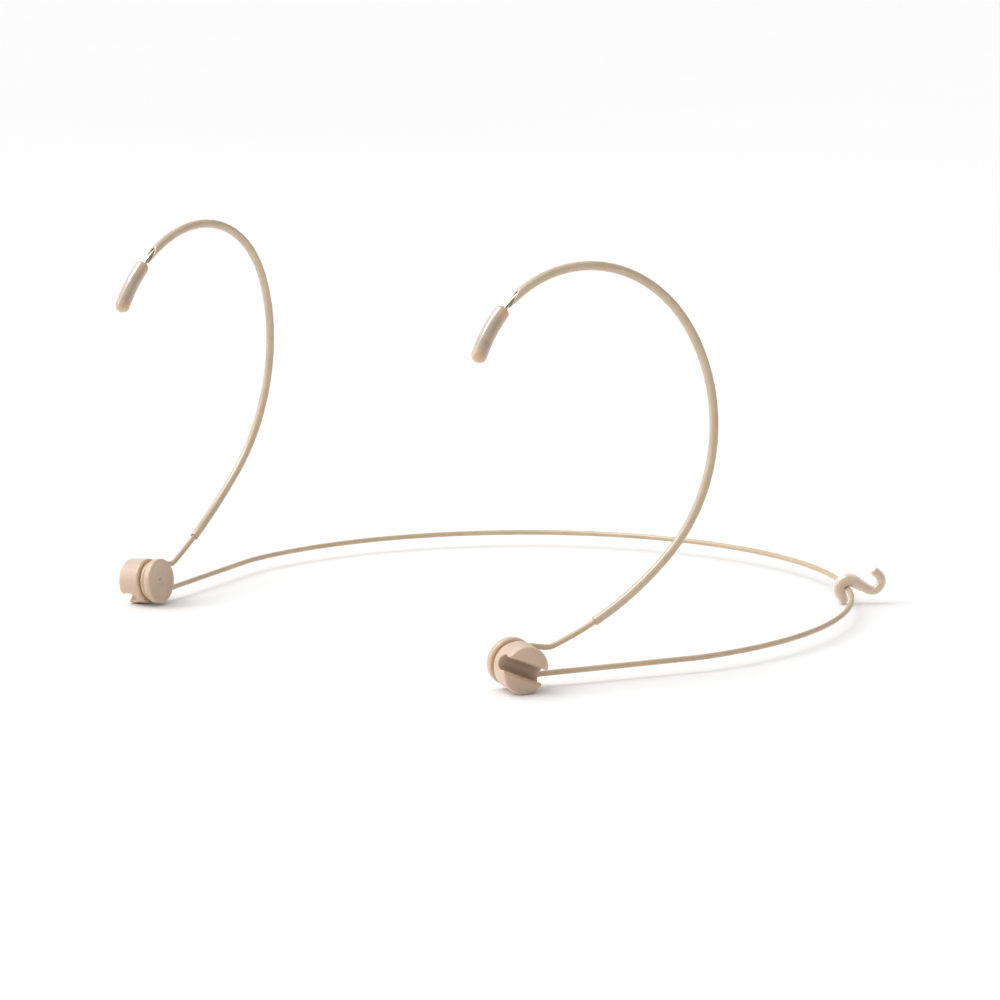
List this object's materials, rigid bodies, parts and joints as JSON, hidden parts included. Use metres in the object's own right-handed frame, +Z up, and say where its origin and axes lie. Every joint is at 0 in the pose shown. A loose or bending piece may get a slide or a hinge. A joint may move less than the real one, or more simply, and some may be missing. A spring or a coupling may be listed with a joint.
{
  "type": "headset microphone frame",
  "caption": "Wire neckband with two sleeved ear hooks, soft ear tips, a turning snap-in boom holder at each end and a swinging cable clip.",
  "frame": {"origin": "on the ground, under the middle of the part's outline", "axes": "+Z up, the wearer faces -Y, +X towards the wearer's left; the part lies on both boom holders and the tail of the cable clip"},
  "size_m": [0.1304, 0.1214, 0.0736],
  "materials": {
    "spring_wire": "polished spring steel wire",
    "wire_coating": "satin beige coating",
    "ear_sheath": "satin beige soft tube",
    "ear_tip": "satin translucent silicone",
    "boom_holder": "satin flesh-coloured plastic",
    "cable_clip": "satin translucent cream soft plastic"
  },
  "bodies": {
    "frame": {"frame_wire": "spring_wire", "wire_coating": "wire_coating", "left_ear_sheath": "ear_sheath", "right_ear_sheath": "ear_sheath", "left_ear_tip": "ear_tip", "right_ear_tip": "ear_tip"},
    "left_holder": {"left_boom_holder": "boom_holder"},
    "right_holder": {"right_boom_holder": "boom_holder"},
    "clip": {"cable_clip": "cable_clip"}
  },
  "joints": [
    {"name": "left_holder_turn", "type": "hinge", "parent": "frame", "child": "left_holder", "pos_m": [0.051, -0.05257, 0.0047], "axis": [0.9527, -0.2913, -0.0872], "continuous": true},
    {"name": "right_holder_turn", "type": "hinge", "parent": "frame", "child": "right_holder", "pos_m": [-0.051, -0.05257, 0.0047], "axis": [-0.9527, -0.2913, -0.0872], "continuous": true},
    {"name": "clip_swing", "type": "hinge", "parent": "frame", "child": "clip", "pos_m": [0.04185, 0.04488, 0.00296], "axis": [0.7631, -0.6463, 0], "continuous": true}
  ]
}
